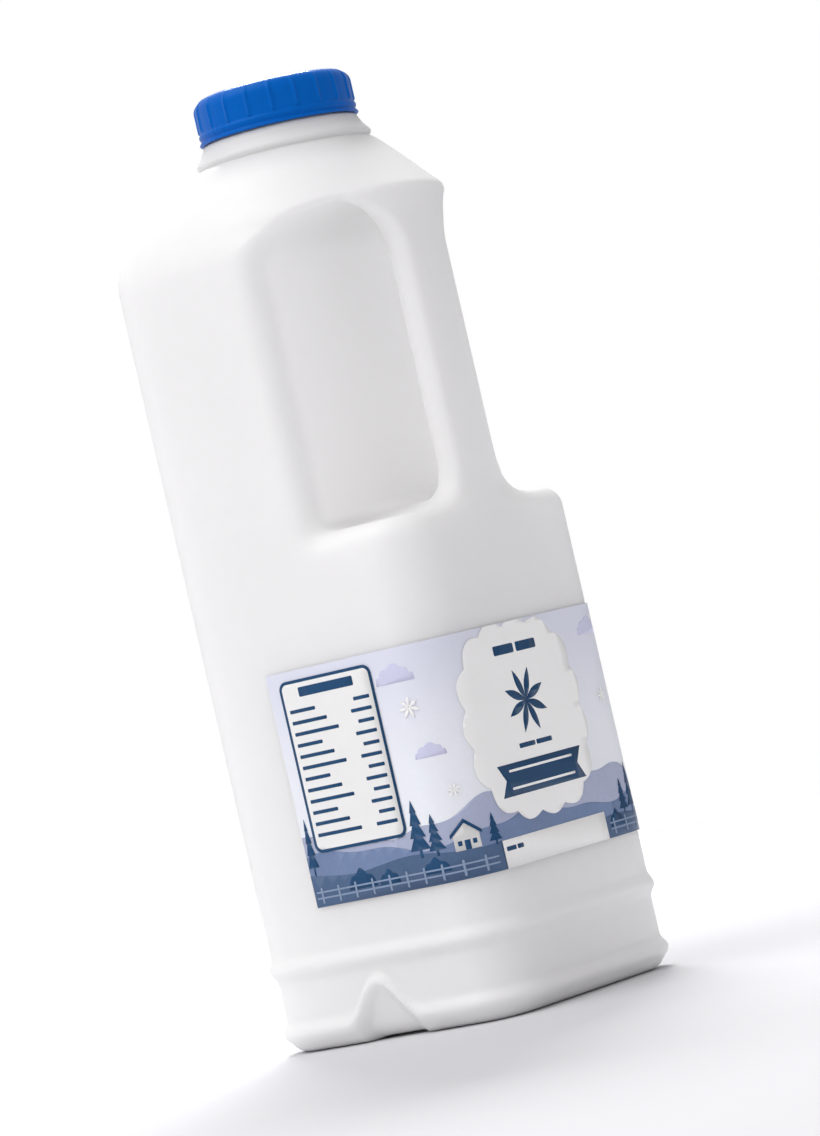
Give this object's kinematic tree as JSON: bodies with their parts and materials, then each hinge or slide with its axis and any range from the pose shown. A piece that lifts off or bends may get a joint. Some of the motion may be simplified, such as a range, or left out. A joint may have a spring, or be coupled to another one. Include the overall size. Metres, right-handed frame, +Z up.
{
  "type": "milk bottle",
  "caption": "Square white plastic milk bottle of one litre with an integral grip handle, a blue ribbed screw cap and a printed wrap label",
  "frame": {"origin": "centre of the bottle's bounding box on the floor it stands on, which is also where its upright axis meets the floor", "axes": "+Z up along the neck; -Y is the front with the grip handle; -X is the side face with the label's info panel"},
  "size_m": [0.0806, 0.0806, 0.2412],
  "materials": {
    "bottle_plastic": "milky white blow-moulded polyethylene with a soft satin sheen",
    "cap_plastic": "opaque blue moulded plastic, smooth and glossy",
    "label_film": "printed plastic film in pale lavender, white and blues, satin"
  },
  "bodies": {
    "root": {"bottle": "bottle_plastic", "cap": "cap_plastic", "label": "label_film"}
  },
  "joints": []
}
